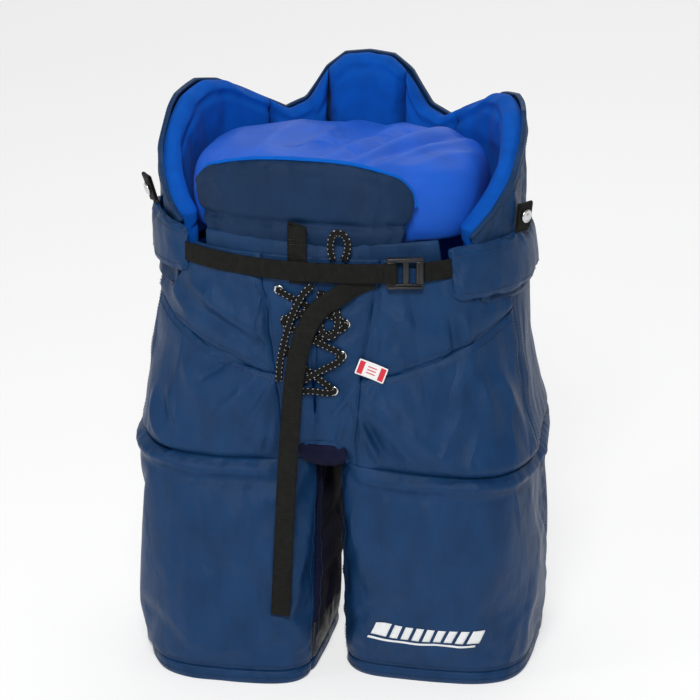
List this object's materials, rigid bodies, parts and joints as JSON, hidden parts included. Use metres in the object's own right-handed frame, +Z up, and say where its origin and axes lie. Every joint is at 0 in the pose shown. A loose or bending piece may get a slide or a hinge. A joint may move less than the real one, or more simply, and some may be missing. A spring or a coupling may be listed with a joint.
{
  "type": "ice hockey pants",
  "caption": "Padded ice hockey pants standing on their hems, with a laced fly, belt and buckle, folding belly flap and high padded back band.",
  "frame": {"origin": "on the floor under the middle of the pants, which stand on both hems", "axes": "+Z up along the wearer, -Y the wearer's front, +X the wearer's left"},
  "size_m": [0.4192, 0.304, 0.6],
  "materials": {
    "navy_nylon": "woven nylon with a satin sheen",
    "navy_side_nylon": "woven nylon, slightly darker",
    "inner_leg_cloth": "matt stretch cloth",
    "blue_lining": "brushed tricot over foam",
    "insert_cloth": "smooth woven cover cloth",
    "black_webbing": "ribbed polyester webbing",
    "black_patch": "coated abrasion cloth",
    "black_plastic": "moulded acetal",
    "white_foam": "closed-cell foam",
    "white_plate": "moulded polyethylene",
    "silver_metal": "plated",
    "label_cloth": "woven label",
    "mark_print": "heat-transferred film"
  },
  "bodies": {
    "pants": {"thigh_front_panel_right": "navy_nylon", "thigh_front_panel_left": "navy_nylon", "hem_band_right": "navy_nylon", "hem_band_left": "navy_nylon", "upper_thigh_panel_right": "navy_nylon", "upper_thigh_panel_left": "navy_nylon", "front_yoke_right": "navy_nylon", "front_yoke_left": "navy_nylon", "fly_facing_right": "navy_nylon", "fly_facing_left": "navy_nylon", "tongue_base": "navy_nylon", "belt_cover_right": "navy_nylon", "belt_cover_left": "navy_nylon", "thigh_rear_panel_right": "navy_side_nylon", "thigh_rear_panel_left": "navy_side_nylon", "hip_panel_right": "navy_side_nylon", "hip_panel_left": "navy_side_nylon", "seat_panel": "navy_side_nylon", "back_band_shell": "navy_side_nylon", "inner_leg_panel_right": "inner_leg_cloth", "inner_leg_panel_left": "inner_leg_cloth", "crotch_gusset": "inner_leg_cloth", "waist_liner": "blue_lining", "wing_pad_right": "blue_lining", "wing_pad_left": "blue_lining", "back_pad_right": "blue_lining", "back_pad_left": "blue_lining", "spine_pad": "blue_lining", "belt_strap_right": "black_webbing", "belt_strap_left": "black_webbing", "fly_lace": "black_webbing", "fly_keeper": "black_webbing", "inner_hem_patch_right": "black_patch", "inner_hem_patch_left": "black_patch", "thigh_foam_right": "white_foam", "thigh_foam_left": "white_foam", "hip_foam_right": "white_foam", "hip_foam_left": "white_foam", "thigh_plate_right": "white_plate", "thigh_plate_left": "white_plate", "hip_plate_right": "white_plate", "hip_plate_left": "white_plate", "tail_plate": "white_plate", "eyelet_strip_right": "silver_metal", "eyelet_strip_left": "silver_metal", "side_label": "label_cloth", "leg_mark": "mark_print"},
    "belly_flap": {"belly_flap": "navy_nylon"},
    "buckle": {"belt_buckle": "black_plastic", "buckle_webbing": "black_webbing"},
    "belt_tail": {"belt_tail": "black_webbing"},
    "bow_loop": {"bow_loop_upper": "black_webbing"},
    "lace_ends": {"bow_loop_lower": "black_webbing", "lace_end": "black_webbing"},
    "tab_right": {"suspender_tab_right": "black_webbing", "tab_button_right": "silver_metal"},
    "tab_left": {"suspender_tab_left": "black_webbing", "tab_button_left": "silver_metal"},
    "insert": {"display_insert": "insert_cloth"}
  },
  "joints": [
    {"name": "belly_flap_fold", "type": "hinge", "parent": "pants", "child": "belly_flap", "pos_m": [0, -0.112, 0.487], "axis": [1, 0, 0], "range_deg": [0, 50]},
    {"name": "buckle_tilt", "type": "hinge", "parent": "pants", "child": "buckle", "pos_m": [0.1035, -0.12404, 0.4458], "axis": [0, 0, 1], "range_deg": [0, 25]},
    {"name": "belt_tail_swing", "type": "hinge", "parent": "pants", "child": "belt_tail", "pos_m": [0.02, -0.139, 0.42], "axis": [0, 1, 0], "range_deg": [-7, 7]},
    {"name": "bow_loop_swing", "type": "hinge", "parent": "pants", "child": "bow_loop", "pos_m": [0.015, -0.133, 0.456], "axis": [1, 0, 0], "range_deg": [0, 45]},
    {"name": "lace_ends_swing", "type": "hinge", "parent": "pants", "child": "lace_ends", "pos_m": [0.005, -0.1335, 0.43], "axis": [0, 1, 0], "range_deg": [-4, 4]},
    {"name": "tab_fold_right", "type": "hinge", "parent": "pants", "child": "tab_right", "pos_m": [-0.19, -0.034, 0.474], "axis": [0, -1, 0], "range_deg": [0, 60]},
    {"name": "tab_fold_left", "type": "hinge", "parent": "pants", "child": "tab_left", "pos_m": [0.19, -0.034, 0.474], "axis": [0, 1, 0], "range_deg": [0, 60]},
    {"name": "insert_lift", "type": "slide", "parent": "pants", "child": "insert", "axis": [0, 0, 1], "range_m": [0, 0.25]}
  ]
}
